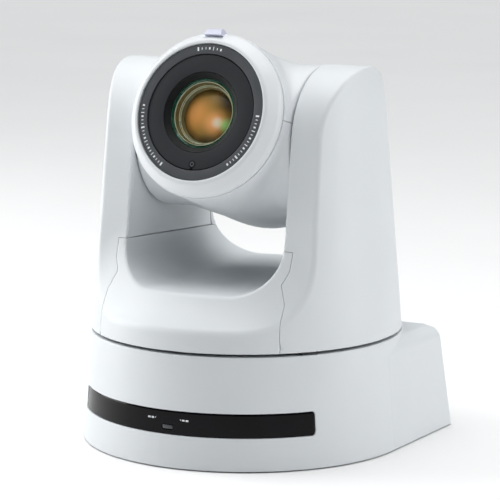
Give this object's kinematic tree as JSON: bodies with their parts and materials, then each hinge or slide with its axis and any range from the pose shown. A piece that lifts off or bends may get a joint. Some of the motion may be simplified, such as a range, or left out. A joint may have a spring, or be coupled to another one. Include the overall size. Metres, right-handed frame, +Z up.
{
  "type": "ptz camera",
  "caption": "Pan-tilt-zoom camera with a round-fronted base, a turning two-armed yoke and a tilting lens head.",
  "frame": {"origin": "centre of the footprint's bounding box, on the surface that the feet stand on; the pan axis is 1.9 mm behind it", "axes": "+Z up along the pan axis, -Y towards the front window, +X to the right of someone who looks at the front"},
  "size_m": [0.175, 0.1662, 0.2127],
  "materials": {
    "white_shell": "satin moulded plastic with a very fine grain",
    "white_case": "smooth satin paint on moulded plastic",
    "dark_gloss": "polished infrared window plastic",
    "dark_plastic": "matt black",
    "ring_plastic": "dark grey satin",
    "rubber": "soft matt",
    "steel": "zinc-plated sheet",
    "cast_metal": "die-cast",
    "brass": "turned",
    "connector_metal": "nickel-plated",
    "board": "solder-masked circuit board",
    "coil": "varnished copper windings on a laminated core",
    "magnet": "coated magnet ring",
    "lens_glass": "coated optical glass",
    "lamp_lens": "translucent diffuser"
  },
  "bodies": {
    "base": {"base_housing": "white_shell", "front_window": "dark_gloss", "status_light": "lamp_lens", "bottom_plate": "cast_metal", "tripod_bush": "brass", "front_left_foot": "rubber", "front_right_foot": "rubber", "rear_left_foot": "rubber", "rear_right_foot": "rubber", "connector_panel": "dark_plastic", "lan_socket": "connector_metal", "serial_socket": "connector_metal", "hdmi_socket": "connector_metal", "sdi_connector_1": "connector_metal", "sdi_connector_2": "connector_metal", "genlock_connector": "connector_metal", "dc_inlet": "dark_plastic", "audio_jack": "dark_plastic", "main_board": "board", "pan_bearing": "steel", "pan_stator": "coil"},
    "turntable": {"turntable_plate": "cast_metal", "pan_rotor": "magnet", "control_board": "board", "left_upright": "steel", "right_upright": "steel", "left_tilt_bearing": "steel", "right_tilt_bearing": "steel", "tilt_stator": "coil", "centre_cover": "white_shell", "left_arm_cover": "white_shell", "right_arm_cover": "white_shell", "left_inner_cover": "white_shell", "right_inner_cover": "white_shell"},
    "head": {"head_upper_case": "white_case", "head_lower_case": "white_case", "front_bezel": "white_case", "name_ring": "ring_plastic", "front_plate": "dark_plastic", "lens_hood": "dark_plastic", "front_lens": "lens_glass", "tally_lamp": "lamp_lens", "lens_barrel": "dark_plastic", "left_tilt_shaft": "cast_metal", "right_tilt_shaft": "cast_metal", "tilt_rotor": "magnet", "guide_rod_upper": "steel", "guide_rod_lower": "steel", "zoom_motor": "cast_metal", "focus_motor": "cast_metal", "sensor_board": "board"},
    "zoom_group": {"zoom_carrier": "dark_plastic", "zoom_lens": "lens_glass"},
    "zoom_drive": {"zoom_screw": "steel"},
    "focus_group": {"focus_carrier": "dark_plastic", "focus_lens": "lens_glass"},
    "focus_drive": {"focus_screw": "steel"},
    "iris": {"iris_ring": "dark_plastic"},
    "filters": {"filter_wheel": "dark_plastic"}
  },
  "joints": [
    {"name": "pan", "type": "hinge", "parent": "base", "child": "turntable", "pos_m": [0, 0.00188, 0.05], "axis": [0, 0, 1], "range_deg": [-175, 175]},
    {"name": "tilt", "type": "hinge", "parent": "turntable", "child": "head", "pos_m": [0, 0.00188, 0.156], "axis": [-1, 0, 0], "range_deg": [-49, 191]},
    {"name": "zoom", "type": "slide", "parent": "head", "child": "zoom_group", "axis": [0, -0.9455, 0.3256], "range_m": [-0.0095, 0.0095]},
    {"name": "zoom_screw_turn", "type": "hinge", "parent": "head", "child": "zoom_drive", "pos_m": [0, -0.00693, 0.19182], "axis": [0, -0.9455, 0.3256], "range_deg": [-1720, 1720]},
    {"name": "focus", "type": "slide", "parent": "head", "child": "focus_group", "axis": [0, -0.9455, 0.3256], "range_m": [-0.0025, 0.0025]},
    {"name": "focus_screw_turn", "type": "hinge", "parent": "head", "child": "focus_drive", "pos_m": [0, -0.00443, 0.12539], "axis": [0, -0.9455, 0.3256], "range_deg": [-460, 460]},
    {"name": "iris_turn", "type": "hinge", "parent": "head", "child": "iris", "pos_m": [0, -0.00568, 0.1586], "axis": [0, -0.9455, 0.3256], "range_deg": [0, 60]},
    {"name": "filter_turn", "type": "hinge", "parent": "head", "child": "filters", "pos_m": [0.0074, 0.01985, 0.14981], "axis": [0, -0.9455, 0.3256], "range_deg": [0, 270]}
  ],
  "couplings": [
    {"joint": "zoom_screw_turn", "follows": "zoom", "rad_per_m": 3141.6},
    {"joint": "focus_screw_turn", "follows": "focus", "rad_per_m": 3141.6}
  ]
}
